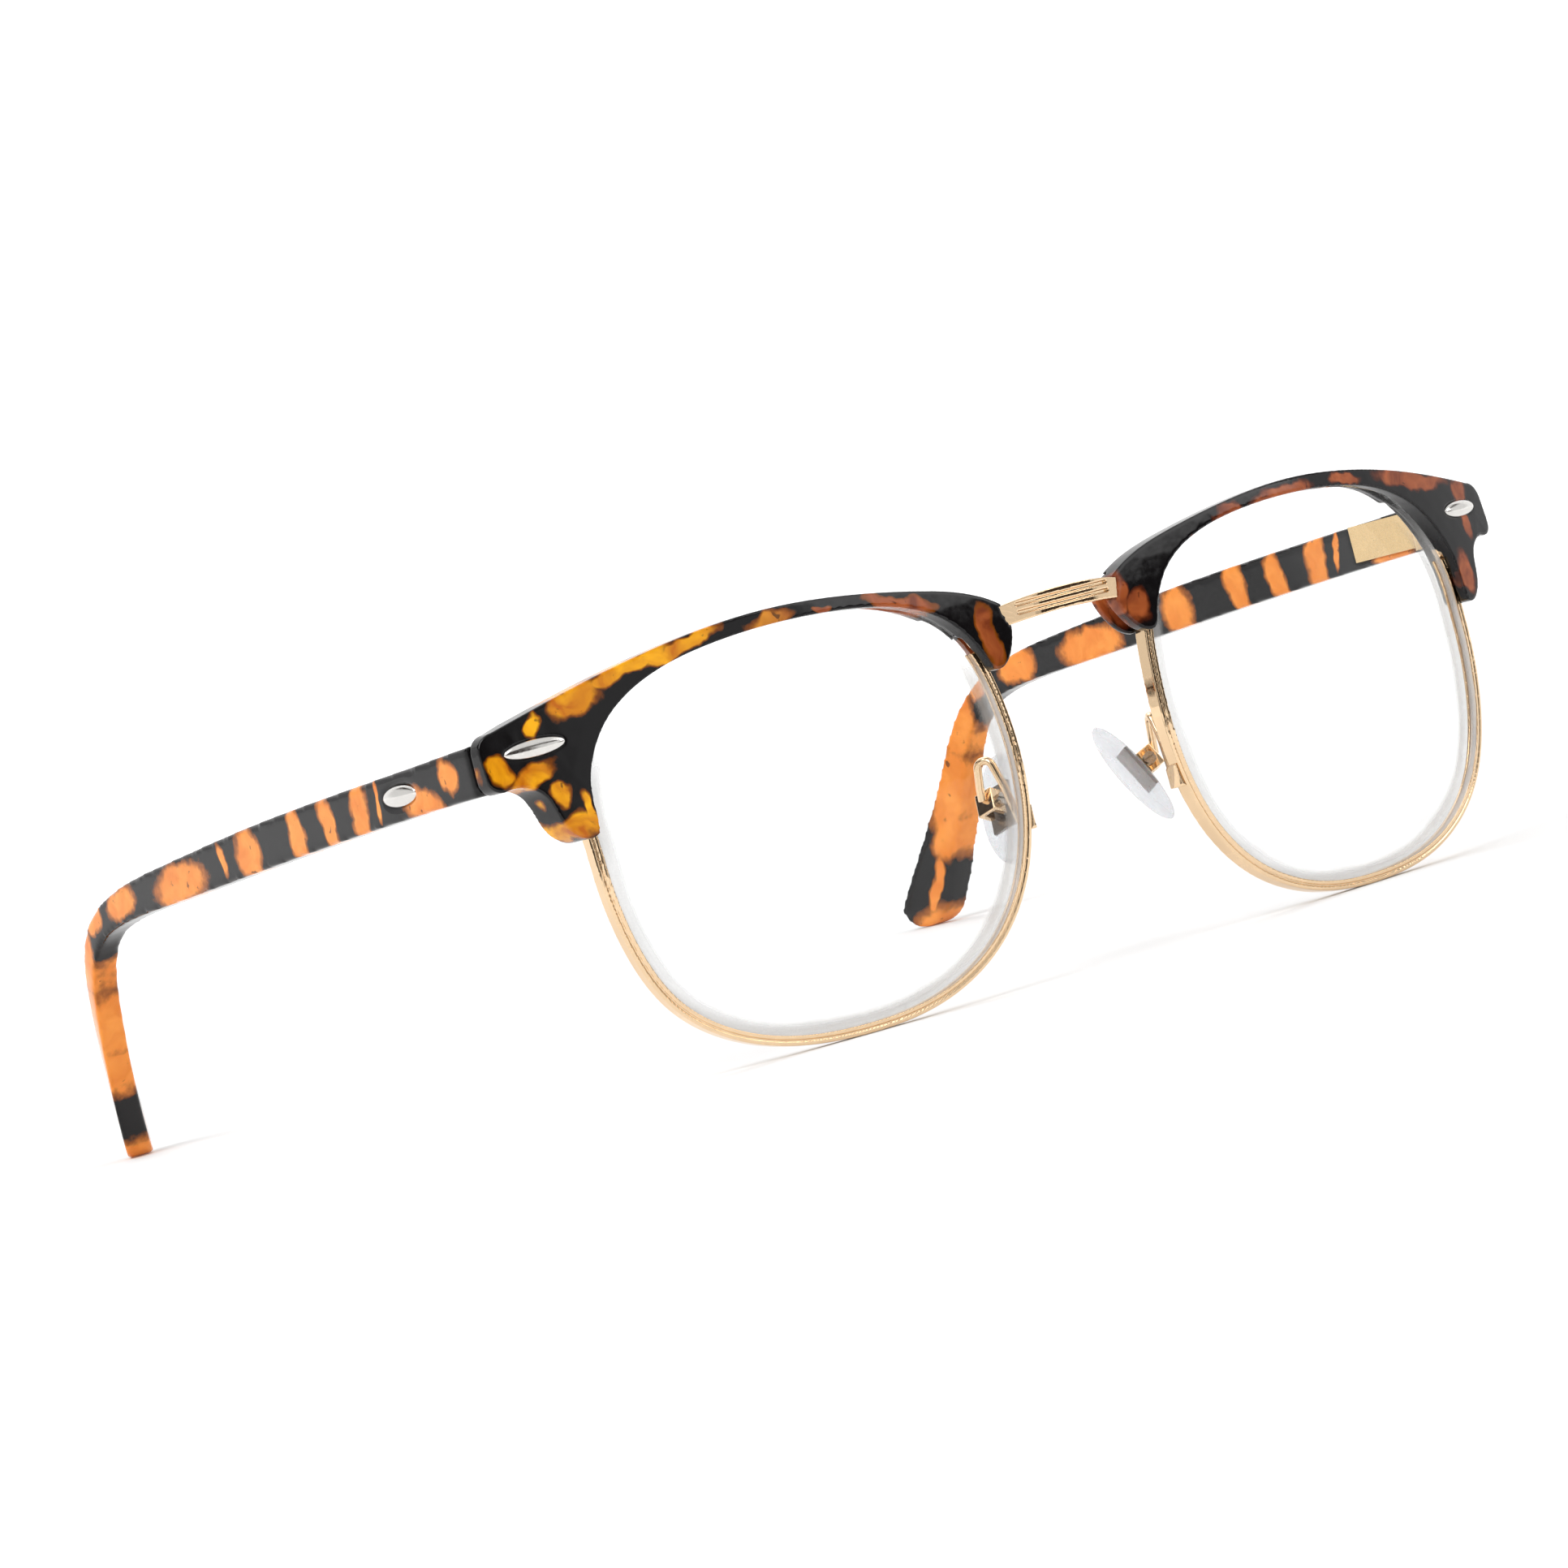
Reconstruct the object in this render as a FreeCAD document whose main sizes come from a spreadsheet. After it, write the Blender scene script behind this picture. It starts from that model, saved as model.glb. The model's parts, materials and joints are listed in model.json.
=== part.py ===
import FreeCAD, Part
import math
import os
import Sketcher

# Half rim (browline) eyeglasses, in millimetres.
#
# The front frame: X to the wearer's left, Y towards the back, Z up, with the
# origin midway between the lens centres. Side pieces are drawn for the left
# side, X above 0, and mirrored or turned for the right. At the end the whole
# object is tilted a little so that it stands on both rims and both temple
# tips, and moved so that the origin is below the middle of its box.
#
# Each lens has its own frame: its centre line lies at lens_centre and is
# turned by wrap_angle, and the rim and lens follow a ball of base_radius.

Vector = FreeCAD.Vector
Rotation = FreeCAD.Rotation
Placement = FreeCAD.Placement

SIDES = (("right", -1), ("left", 1))
ACROSS = Vector(1, 0, 0)
BACK = Vector(0, 1, 0)
UP = Vector(0, 0, 1)

SIZES = (
    ("lens_centre", 35.1, "half the distance between the lens centres"),
    ("wrap_angle", 7.9, "turn of each lens about Z, degrees"),
    ("base_radius", 103.5, "radius of the ball that rim and lens follow"),
    ("rim_width", 1.05, "rim, outside to inside, in the lens plane"),
    ("rim_depth", 1.5, "rim, front to back"),
    ("rim_line_depth", 0.15, "fine line pressed into the rim's front"),
    ("rim_line_width", 0.25, "width of that line"),
    ("bevel_reach", 0.35, "how far the lens bevel goes into the rim"),
    ("bevel_depth", 0.8, "thickness of the lens bevel"),
    ("lens_front", 0.8, "lens front face, ahead of the ball"),
    ("lens_back", 1.4, "lens back face, behind the ball"),
    ("play", 0.02, "gap between pieces that are fitted together"),
    ("brow_front", 1.7, "brow front face, ahead of the ball at the lens centre"),
    ("brow_front_radius", 130.0, "radius of the brow's front face"),
    ("brow_back", 1.6, "brow back face, behind the ball"),
    ("slot_half", 0.85, "half the slot between the brow's walls"),
    ("lug_radius", 1.7, "round lugs on the rim ends"),
    ("lug_half", 0.8, "half the thickness of the lugs and bridge feet"),
    ("tongue_reach", 2.7, "tongue of a lug, from its screw towards the rim"),
    ("tongue_half", 1.1, "half the height of that tongue"),
    ("joint_place", 10.3, "back face of the end-pieces, along Y"),
    ("joint_gap", 0.15, "gap between end-piece and temple"),
    ("hinge_x", 63.0, "hinge axis, across"),
    ("hinge_y", 12.6, "hinge axis, towards the back"),
    ("hinge_z", 13.2, "middle of the hinge"),
    ("knuckle_radius", 1.5, "hinge knuckles"),
    ("knuckle_stack", 4.8, "height of the three knuckles together"),
    ("knuckle_middle", 1.56, "height of the middle knuckle"),
    ("knuckle_gap", 0.06, "gap between two knuckles"),
    ("neck_width", 1.8, "neck between a knuckle and its plate"),
    ("neck_overlap", 0.2, "how far a neck runs into its plate"),
    ("pin_radius", 0.6, "hinge screw shank"),
    ("pin_bore", 0.65, "bore of the middle knuckle"),
    ("leaf_height", 4.2, "plates of the hinge leaves"),
    ("front_leaf_width", 4.5, "front hinge plate, across"),
    ("front_leaf_start", 1.6, "front hinge plate, inwards of the hinge axis"),
    ("front_leaf_depth", 1.0, "front hinge plate, front to back"),
    ("temple_leaf_length", 13.4, "temple hinge plate"),
    ("temple_leaf_depth", 0.8, "temple hinge plate"),
    ("temple_leaf_start", 2.0, "temple hinge plate, behind the hinge axis"),
    ("temple_inner", 64.9, "inner face of the temple at the hinge, across"),
    ("brow_head_radius", 1.1, "brow screw head"),
    ("brow_head_height", 0.7, "brow screw head"),
    ("brow_shank_radius", 0.5, "brow screw shank"),
    ("brow_shank_length", 2.4, "brow screw shank"),
    ("hinge_head_radius", 1.1, "hinge screw head"),
    ("hinge_head_height", 0.6, "hinge screw head"),
    ("hinge_shank_length", 5.0, "hinge screw shank"),
    ("pad_head_radius", 0.7, "pad screw head"),
    ("pad_head_height", 0.5, "pad screw head"),
    ("pad_shank_radius", 0.35, "pad screw shank"),
    ("pad_shank_length", 2.6, "pad screw shank"),
    ("slot_width", 0.25, "driver slot in a screw head"),
    ("slot_depth", 0.25, "driver slot in a screw head"),
    ("front_rivet_long", 3.3, "front rivet, half its length"),
    ("front_rivet_high", 0.95, "front rivet, half its height"),
    ("temple_rivet_long", 3.4, "temple rivet, half its length"),
    ("temple_rivet_high", 1.15, "temple rivet, half its height"),
    ("rivet_dome", 0.6, "half the thickness of a rivet's dome"),
    ("rivet_stem_radius", 0.6, "rivet stem"),
    ("rivet_stem_length", 2.4, "rivet stem"),
    ("pad_long", 6.5, "nose pad, half its length"),
    ("pad_wide", 3.4, "nose pad, half its width"),
    ("pad_thick", 0.95, "nose pad, half its thickness"),
    ("pad_reach", 2.0, "from the pad screw to the middle of the pad"),
    ("pad_box_wide", 2.4, "pad box along its screw"),
    ("pad_box_deep", 2.0, "pad box towards the nose"),
    ("pad_box_long", 2.6, "pad box along the pad"),
    ("pad_slot_wide", 1.2, "slot in the pad box"),
    ("pad_box_wall", 0.5, "outer wall of the pad box"),
    ("pad_eye_radius", 0.65, "eye of the pad insert"),
    ("pad_eye_bore", 0.4, "bore in that eye"),
    ("pad_eye_room", 0.1, "room about that eye in the box"),
    ("pad_tab_thick", 0.9, "tab of the pad insert along the screw"),
    ("pad_tab_long", 1.2, "tab of the pad insert along the pad"),
    ("pad_plate_thick", 0.4, "plate of the pad insert"),
    ("pad_plate_depth", 0.85, "plate of the pad insert, short of the pad's middle"),
    ("pad_plate_wide", 3.2, "plate of the pad insert"),
    ("pad_plate_long", 5.2, "plate of the pad insert"),
    ("wire_radius", 0.45, "pad arm wire"),
    ("wire_bend", 0.9, "bend radius of the pad arm wire"),
)

# The rim's outer edge in its lens frame: across from the lens centre, up.
RIM_OUTLINE = (
    (25.5, 1.0), (24.3, -8.0), (20.7, -15.6), (13.5, -20.8), (1.0, -23.1),
    (-9.5, -22.0), (-17.8, -17.7), (-22.7, -11.4), (-25.1, -3.0), (-25.0, 6.5),
    (-22.6, 14.3), (-14.7, 19.9), (-3.0, 21.9), (6.5, 21.6), (17.0, 19.3),
    (22.6, 14.4), (25.4, 8.0),
)

# The brow bar in front view, in the front frame: across, up.
BROW_TOP = (
    (7.4, 16.4), (10.3, 18.0), (17.0, 19.9), (26.0, 21.4), (35.5, 22.1),
    (45.0, 21.5), (55.0, 19.8), (62.0, 18.1), (66.8, 16.8),
)
BROW_CORNER = ((66.8, 16.8), (68.1, 16.2), (68.6, 15.0))
BROW_UNDER_CORNER = ((68.6, 12.0), (68.2, 11.0), (67.2, 10.6))
BROW_LOBE = (
    (67.2, 10.6), (65.0, 10.4), (63.6, 9.1), (62.9, 6.7), (61.9, 4.7),
    (60.6, 3.9), (59.6, 4.2),
)
BROW_OPENING = (
    (59.6, 4.2), (59.4, 5.8), (59.3, 8.0), (58.3, 11.5), (55.2, 15.6),
    (50.0, 18.5), (42.5, 20.1), (34.0, 20.5), (26.0, 20.0), (19.2, 18.5),
    (15.0, 16.2), (12.3, 12.8), (11.4, 10.6),
)
BROW_NASAL = ((11.4, 10.6), (10.6, 10.0), (9.3, 10.4), (8.0, 11.9), (7.1, 14.2), (7.4, 16.4))

# Towards the back the bar's top falls: behind the ball by, lowered by.
TOP_STEPS = ((0.0, 0.4), (0.85, 0.8))

# Behind the rim the opening is wider: from the rim's outer edge, up to a height.
REAR_EDGES = ((-0.9, 30.0), (-0.2, 17.0))

# The end-piece is a block as far back as the joint, from here outwards and up.
END_BLOCK = (60.6, 10.4)

# The slot between the brow's walls at the nose, in the front frame.
NASAL_SLOT = ((4.0, 6.0), (11.6, 6.0), (13.0, 12.0), (13.2, 16.0), (10.0, 16.9), (4.0, 17.2))

# The rim's ends: it is cut along this line in the lens frame.
RIM_END_NASAL = (-32.0, 12.9)
RIM_END_OUTER = (32.0, 8.7)

NASAL_SCREW = (-24.8, 14.0)
OUTER_SCREW = (27.1, 9.4)
SCREW_SEAT = 5.35

# Room about a screw head, and how far the channel runs past the rim ends.
HEAD_ROOM = 0.1
RIM_END_ROOM = 0.05

# The bridge in front view and in plan, half of each, from the middle out.
BRIDGE_TOP = ((0.0, 16.9), (3.5, 16.8), (6.8, 16.5), (9.4, 16.1))
BRIDGE_UNDER = ((9.4, 13.9), (6.8, 14.2), (3.5, 14.4), (0.0, 14.5))
BRIDGE_FRONT = ((0.0, -2.9), (3.5, -2.7), (6.8, -1.9), (9.8, -0.9))
BRIDGE_REAR = ((9.8, 1.2), (6.8, -0.1), (3.5, -1.1), (0.0, -1.3))
FLUTE_HEIGHTS = (15.2, 16.1)
FLUTE_HALF = 0.2
FLUTE_DEPTH = 0.35
FLUTE_REACH = 6.2
FOOT_OUTER = ((6.0, 14.6), (6.5, 12.6), (7.6, 10.6), (9.0, 9.1), (10.6, 8.4))
FOOT_INNER = ((10.6, 9.3), (9.5, 9.8), (8.3, 11.1), (7.4, 12.9), (7.0, 14.6))

# The temple in side view, back and up. Both ends run on past the joint.
TEMPLE_TOP = (
    (9.0, 16.1), (35.0, 15.0), (62.0, 13.7), (84.0, 12.0), (97.0, 10.4),
    (105.0, 7.5), (109.8, 3.0), (113.2, -2.8), (117.0, -9.4), (120.8, -16.0),
)
TEMPLE_TIP = ((120.8, -16.0), (121.1, -18.4), (119.4, -19.9), (117.2, -19.4), (115.8, -17.6))
TEMPLE_UNDER = (
    (115.8, -17.6), (112.8, -11.0), (110.0, -4.5), (107.4, 1.0), (103.6, 4.7),
    (97.0, 6.6), (85.0, 7.5), (62.0, 8.7), (35.0, 10.0), (9.0, 10.75),
)

# The temple in plan, across and back.
TEMPLE_OUTSIDE = (
    (68.8, 9.0), (68.4, 30.0), (67.4, 60.0), (66.4, 88.0), (65.7, 103.0),
    (65.0, 109.0), (63.0, 114.5), (59.5, 121.0), (57.5, 125.0),
)
TEMPLE_INSIDE = (
    (54.9, 123.4), (56.9, 119.4), (60.3, 113.2), (62.0, 107.9), (62.7, 102.0),
    (63.3, 88.0), (64.0, 60.0), (64.9, 30.0), (64.9, 9.0),
)

FRONT_RIVET = (63.4, 14.2)
TEMPLE_RIVET = (26.0, 12.9)

PAD_CENTRE = Vector(10.6, 4.9, -3.8)
PAD_UP = Vector(-0.32, 0.36, 0.90)
PAD_TO_NOSE = Vector(-0.90, 0.25, -0.12)
PAD_WIRE = (
    (10.6, 0.8, -6.2), (10.9, 1.6, -2.2), (11.1, 2.8, 1.0), (11.8, 4.1, 0.9),
    (11.9, 4.6, -2.0), (11.9, 4.7, -3.2),
)
# The most of a straight run that one bend may take.
BEND_SHARE = 0.45
PAD_FOOT_LOW = Vector(9.9, -0.9, -7.2)
PAD_FOOT_SIZE = Vector(2.0, 1.9, 2.6)

FAR = 60.0


# ---------------------------------------------------------------- document

document = FreeCAD.newDocument("HalfRimEyeglasses")
sheet = document.addObject("Spreadsheet::Sheet", "Sizes")


def fill_sheet():
    for row, (alias, value, note) in enumerate(SIZES, start=1):
        sheet.set(f"A{row}", note)
        sheet.set(f"B{row}", str(value))
        sheet.setAlias(f"B{row}", alias)
    document.recompute()


fill_sheet()
size = {alias: float(sheet.get(alias)) for alias, _value, _note in SIZES}
pieces = {}


def keep(label, piece):
    """Register a finished sub-part under its own label."""
    piece.Label = label
    pieces[label] = piece
    return piece


def bind(thing, **expressions):
    """Bind properties to expressions in which sheet cells are plain words."""
    for prop, text in expressions.items():
        words = text.split()
        bound = ["Sizes." + word if word in size else word for word in words]
        thing.setExpression(prop, " ".join(bound))


# ---------------------------------------------------------------- outlines

def curve_3d(points):
    spline = Part.BSplineCurve()
    spline.interpolate(points)
    return spline.toShape()


def front_points(points):
    """Points (across, up) as vectors in the XZ plane."""
    return [Vector(across, 0, up) for across, up in points]


def plan_points(points):
    """Points (across, back) as vectors in the XY plane."""
    return [Vector(across, back, 0) for across, back in points]


def side_points(points):
    """Points (back, up) as vectors in the YZ plane."""
    return [Vector(0, back, up) for back, up in points]


def closed_face(edges):
    return Part.Face(Part.Wire(Part.__sortEdges__(edges)))


def band_face(first, second):
    """A face between two curves, closed by straight ends."""
    return closed_face([
        curve_3d(first),
        Part.makeLine(first[-1], second[0]),
        curve_3d(second),
        Part.makeLine(second[-1], first[0]),
    ])


def prism(face, direction, start, end):
    """The face swept along a direction from start to end."""
    moved = face.copy()
    moved.translate(direction * start)
    return moved.extrude(direction * (end - start))


def rim_face(offset):
    """The rim outline, moved outwards by offset, as a face in the lens frame."""
    outline = Part.BSplineCurve()
    outline.interpolate(Points=front_points(RIM_OUTLINE), PeriodicFlag=True)
    first, last = outline.FirstParameter, outline.LastParameter
    steps = 72
    moved = []
    for step in range(steps):
        place = first + (last - first) * step / steps
        along = outline.tangent(place)[0]
        outward = Vector(along.z, 0, -along.x)
        point = outline.value(place)
        if outward.dot(point) < 0:
            outward = outward * -1
        moved.append(point + outward * offset)
    shifted = Part.BSplineCurve()
    shifted.interpolate(Points=moved, PeriodicFlag=True)
    return Part.Face(Part.Wire([shifted.toShape()]))


# ---------------------------------------------------------------- lens frame

def ball(radius, front):
    """A ball whose front touches the plane at -front in the lens frame."""
    return Part.makeSphere(radius, Vector(0, radius - front, 0))


def shell(front, back):
    """The space between front and back of the base ball."""
    radius = size["base_radius"]
    centre = Vector(0, radius, 0)
    outer = Part.makeSphere(radius + front, centre)
    inner = Part.makeSphere(radius - back, centre)
    return outer.cut(inner)


def lens_prism(offset):
    return prism(rim_face(offset), BACK, -FAR, FAR)


def below_rim_ends(lift):
    """The space below the line where the rim ends are cut."""
    nasal = Vector(RIM_END_NASAL[0], 0, RIM_END_NASAL[1] + lift)
    outer = Vector(RIM_END_OUTER[0], 0, RIM_END_OUTER[1] + lift)
    low_outer = Vector(outer.x, 0, -FAR)
    low_nasal = Vector(nasal.x, 0, -FAR)
    face = Part.Face(Part.makePolygon([nasal, outer, low_outer, low_nasal, nasal]))
    return prism(face, BACK, -FAR, FAR)


lens_place = Placement(Vector(size["lens_centre"], 0, 0), Rotation(UP, size["wrap_angle"]))


def in_front(shape):
    """A lens frame shape moved to the front frame, left side."""
    moved = shape.copy()
    moved.Placement = lens_place.multiply(moved.Placement)
    return moved


def mirrored(shape):
    return shape.mirror(Vector(0, 0, 0), ACROSS)


def one_solid(shape):
    """The single largest solid of a boolean result."""
    return max(shape.Solids, key=lambda solid: solid.Volume)


def keep_pair(name, shape):
    """Register a shape of the left side and its mirror image on the right."""
    solid = one_solid(shape)
    for side, sign in SIDES:
        piece = document.addObject("Part::Feature", f"{side}_{name}")
        piece.Shape = solid if sign > 0 else one_solid(mirrored(solid))
        keep(f"{side}_{name}", piece)
    return solid


# ---------------------------------------------------------------- rims, lenses, lugs

def make_rim():
    half = size["rim_depth"] / 2
    width = size["rim_width"]
    ring = lens_prism(0).cut(lens_prism(-width)).common(shell(half, half))
    groove_half = size["bevel_depth"] / 2 + size["play"]
    groove = lens_prism(size["bevel_reach"] - width).common(shell(groove_half, groove_half))
    line_middle = -width / 2
    line_half = size["rim_line_width"] / 2
    line = lens_prism(line_middle + line_half).cut(lens_prism(line_middle - line_half))
    line = line.common(shell(half, size["rim_line_depth"] - half))
    return ring.cut(groove).cut(line).common(below_rim_ends(0))


def make_lens():
    edge = -size["rim_width"] - size["play"]
    body = lens_prism(edge).common(shell(size["lens_front"], size["lens_back"]))
    half = size["bevel_depth"] / 2
    bevel = lens_prism(edge + size["bevel_reach"]).common(shell(half, half))
    return body.fuse(bevel)


def lug_plate(screw, gap):
    """A round plate with a tongue to the rim, enlarged by gap."""
    across, up = screw
    radius = size["lug_radius"] + gap
    disc = Part.makeCylinder(radius, 2 * FAR, Vector(across, -FAR, up), BACK)
    towards_rim = -math.copysign(size["tongue_reach"], across)
    low = min(across, across + towards_rim)
    tongue_half = size["tongue_half"] + gap
    tongue = Part.makeBox(abs(towards_rim), 2 * FAR, 2 * tongue_half, Vector(low, -FAR, up - tongue_half))
    half = size["lug_half"] + gap
    return disc.fuse(tongue).common(shell(half, half))


def screw_hole(screw, radius, start, end):
    across, up = screw
    return Part.makeCylinder(radius, end - start, Vector(across, start, up), BACK)


def make_lug(screw):
    hole = screw_hole(screw, size["brow_shank_radius"] + size["play"], -FAR, FAR)
    clear_of_rim = lens_prism(size["play"])
    return lug_plate(screw, 0).cut(hole).cut(clear_of_rim)


# ---------------------------------------------------------------- bridge

def both_sides(points):
    """Half a symmetric curve, from the middle out, made whole."""
    left_to_middle = [Vector(-point.x, point.y, point.z) for point in reversed(points[1:])]
    return left_to_middle + list(points)


def symmetric_band(top, under):
    whole_top = both_sides(top)
    whole_under = both_sides(list(reversed(under)))
    return band_face(whole_top, list(reversed(whole_under)))


def make_bridge_bar():
    front = symmetric_band(front_points(BRIDGE_TOP), front_points(BRIDGE_UNDER))
    plan = symmetric_band(plan_points(BRIDGE_FRONT), plan_points(BRIDGE_REAR))
    bar = prism(front, BACK, -FAR, FAR).common(prism(plan, UP, -FAR, FAR))
    skin = [point + Vector(0, FLUTE_DEPTH, 0) for point in plan_points(BRIDGE_FRONT)]
    ahead = [point - Vector(0, 2, 0) for point in plan_points(BRIDGE_FRONT)]
    front_skin = prism(symmetric_band(ahead, list(reversed(skin))), UP, -FAR, FAR)
    for height in FLUTE_HEIGHTS:
        low = Vector(-FLUTE_REACH, -FAR, height - FLUTE_HALF)
        flute = Part.makeBox(2 * FLUTE_REACH, 2 * FAR, 2 * FLUTE_HALF, low)
        bar = bar.cut(flute.common(front_skin))
    return bar


def make_bridge_foot():
    """The band from the bridge down to the rim, left side."""
    band = band_face(front_points(FOOT_OUTER), front_points(FOOT_INNER))
    half = size["lug_half"]
    foot = prism(band, BACK, -FAR, FAR).common(in_front(shell(half, half)))
    return foot.cut(in_front(lens_prism(size["play"])))


def make_bridge():
    bar = make_bridge_bar()
    foot = make_bridge_foot()
    near_lug = in_front(lug_plate(NASAL_SCREW, size["play"]))
    tools = [near_lug, mirrored(near_lug)]
    whole = bar.fuse([foot, mirrored(foot)]).cut(tools)
    piece = document.addObject("Part::Feature", "bridge")
    piece.Shape = one_solid(whole)
    return keep("bridge", piece)


# ---------------------------------------------------------------- rivet places

def brow_front_at(across, up):
    """The point of the brow's front face, front frame, and its outward normal."""
    radius = size["brow_front_radius"]
    centre = lens_place.multVec(Vector(0, radius - size["brow_front"], 0))
    flat = radius ** 2 - (across - centre.x) ** 2 - (up - centre.z) ** 2
    point = Vector(across, centre.y - math.sqrt(flat), up)
    normal = point - centre
    normal.normalize()
    return point, normal


def frame_at(origin, x_axis, z_axis):
    """A placement with the given origin, Z axis and, nearly, X axis."""
    return Placement(origin, Rotation(x_axis, Vector(), z_axis, "ZXY"))


def flipped(vector):
    return Vector(-vector.x, vector.y, vector.z)


def front_rivet_place(sign):
    point, normal = brow_front_at(*FRONT_RIVET)
    along = UP.cross(normal)
    if sign < 0:
        point, normal, along = flipped(point), flipped(normal), flipped(along)
    return frame_at(point, along, normal)


def temple_rivet_place(sign):
    back, up = TEMPLE_RIVET
    outside = TEMPLE_OUTSIDE[1][0]
    return frame_at(Vector(sign * outside, back, up), BACK, ACROSS * sign)


def rivet_tool(place, long_half, high_half):
    """The space that a rivet takes, a little enlarged."""
    gap = 2 * size["play"]
    dome = Part.makeSphere(1.0)
    stretch = FreeCAD.Matrix()
    stretch.scale(long_half + gap, high_half + gap, size["rivet_dome"] + gap)
    dome = dome.transformGeometry(stretch)
    stem_radius = size["rivet_stem_radius"] + size["play"]
    stem_length = size["rivet_stem_length"] + size["play"]
    stem = Part.makeCylinder(stem_radius, stem_length, Vector(0, 0, -stem_length), UP)
    tool = dome.fuse(stem)
    tool.Placement = place
    return tool


# ---------------------------------------------------------------- brow bars

def brow_face():
    def line(first, last):
        return Part.makeLine(*front_points((first, last)))

    def arc(points):
        return Part.Arc(*front_points(points)).toShape()

    return closed_face([
        curve_3d(front_points(BROW_TOP)),
        arc(BROW_CORNER),
        line(BROW_CORNER[-1], BROW_UNDER_CORNER[0]),
        arc(BROW_UNDER_CORNER),
        curve_3d(front_points(BROW_LOBE)),
        curve_3d(front_points(BROW_OPENING)),
        curve_3d(front_points(BROW_NASAL)),
    ])


def brow_blank():
    """The bar before anything is let into it."""
    back_limit = Part.makeBox(2 * FAR, 2 * FAR, 2 * FAR, Vector(0, size["joint_place"] - 2 * FAR, -FAR))
    blank = prism(brow_face(), BACK, -FAR, FAR)
    blank = blank.common(in_front(ball(size["brow_front_radius"], size["brow_front"])))
    hollow = in_front(ball(size["base_radius"] - size["brow_back"], -size["brow_back"]))
    across, up = END_BLOCK
    end_space = Part.makeBox(FAR, 2 * FAR, FAR, Vector(across, -FAR, up))
    return blank.cut(hollow.cut(end_space)).common(back_limit)


def behind_ball(depth):
    """The space behind the base ball by at least depth, front frame."""
    return in_front(ball(size["base_radius"] - depth, -depth))


def top_step(depth, drop):
    """What is taken off the bar's top behind the given depth."""
    lowered = [point - UP * drop for point in front_points(BROW_TOP)]
    first, last = lowered[0], lowered[-1]
    beyond = Vector(last.x + FAR, 0, last.z)
    above = Vector(beyond.x, 0, FAR)
    over_first = Vector(first.x, 0, FAR)
    roof = closed_face([
        curve_3d(lowered),
        Part.makeLine(last, beyond),
        Part.makeLine(beyond, above),
        Part.makeLine(above, over_first),
        Part.makeLine(over_first, first),
    ])
    return prism(roof, BACK, -FAR, FAR).common(behind_ball(depth))


def rear_edge(offset, height):
    """What is taken off the edge behind the rim, up to a height."""
    below = Part.makeBox(2 * FAR, 2 * FAR, FAR + height, Vector(0, -FAR, -FAR))
    opening = in_front(lens_prism(offset))
    return opening.common(behind_ball(size["slot_half"])).common(below)


def lens_pocket():
    """Room for the lens and for its bevel."""
    play = size["play"]
    body = lens_prism(-size["rim_width"]).common(shell(size["lens_front"] + play, size["lens_back"] + play))
    half = size["bevel_depth"] / 2 + play
    bevel = lens_prism(size["bevel_reach"] - size["rim_width"]).common(shell(half, half))
    return body.fuse(bevel)


def rim_channel():
    half = size["slot_half"] + size["play"]
    return lens_prism(2 * size["play"]).common(shell(half, half)).common(below_rim_ends(RIM_END_ROOM))


def screw_pocket(screw):
    shank_end = SCREW_SEAT - size["brow_shank_length"] - size["play"]
    shank = screw_hole(screw, size["brow_shank_radius"] + size["play"], shank_end, SCREW_SEAT + HEAD_ROOM)
    head = screw_hole(screw, size["brow_head_radius"] + HEAD_ROOM, SCREW_SEAT, FAR)
    return shank.fuse(head)


def nasal_slot():
    corners = front_points(NASAL_SLOT + NASAL_SLOT[:1])
    face = Part.Face(Part.makePolygon(corners))
    half = size["slot_half"] + size["play"]
    return prism(face, BACK, -FAR, FAR).common(in_front(shell(half, half)))


def make_brow(front_leaf, bridge):
    gap = size["slot_half"] - size["lug_half"]
    tools = [
        in_front(lens_pocket()),
        in_front(rim_channel()),
        in_front(lug_plate(OUTER_SCREW, gap)),
        in_front(screw_pocket(NASAL_SCREW)),
        in_front(screw_pocket(OUTER_SCREW)),
        nasal_slot(),
        rivet_tool(front_rivet_place(1), size["front_rivet_long"], size["front_rivet_high"]),
        front_leaf,
        bridge,
    ]
    tools += [top_step(depth, drop) for depth, drop in TOP_STEPS]
    tools += [rear_edge(offset, height) for offset, height in REAR_EDGES]
    brow = brow_blank()
    for tool in tools:
        brow = brow.cut(tool)
    return brow


# ---------------------------------------------------------------- temples

def make_temple(temple_leaf):
    side = closed_face([
        curve_3d(side_points(TEMPLE_TOP)),
        curve_3d(side_points(TEMPLE_TIP)),
        curve_3d(side_points(TEMPLE_UNDER)),
        Part.makeLine(*side_points((TEMPLE_UNDER[-1], TEMPLE_TOP[0]))),
    ])
    plan = band_face(plan_points(TEMPLE_OUTSIDE), plan_points(TEMPLE_INSIDE))
    arm = prism(side, ACROSS, 0, 2 * FAR).common(prism(plan, UP, -FAR, FAR))
    start = size["joint_place"] + size["joint_gap"]
    arm = arm.common(Part.makeBox(2 * FAR, 3 * FAR, 2 * FAR, Vector(0, start, -FAR)))
    rivet = rivet_tool(temple_rivet_place(1), size["temple_rivet_long"], size["temple_rivet_high"])
    return arm.cut(rivet).cut(temple_leaf)


# ---------------------------------------------------------------- screws

def origin_plane(body, role):
    return next(plane for plane in body.Origin.OriginFeatures if plane.Role == role)


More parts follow.
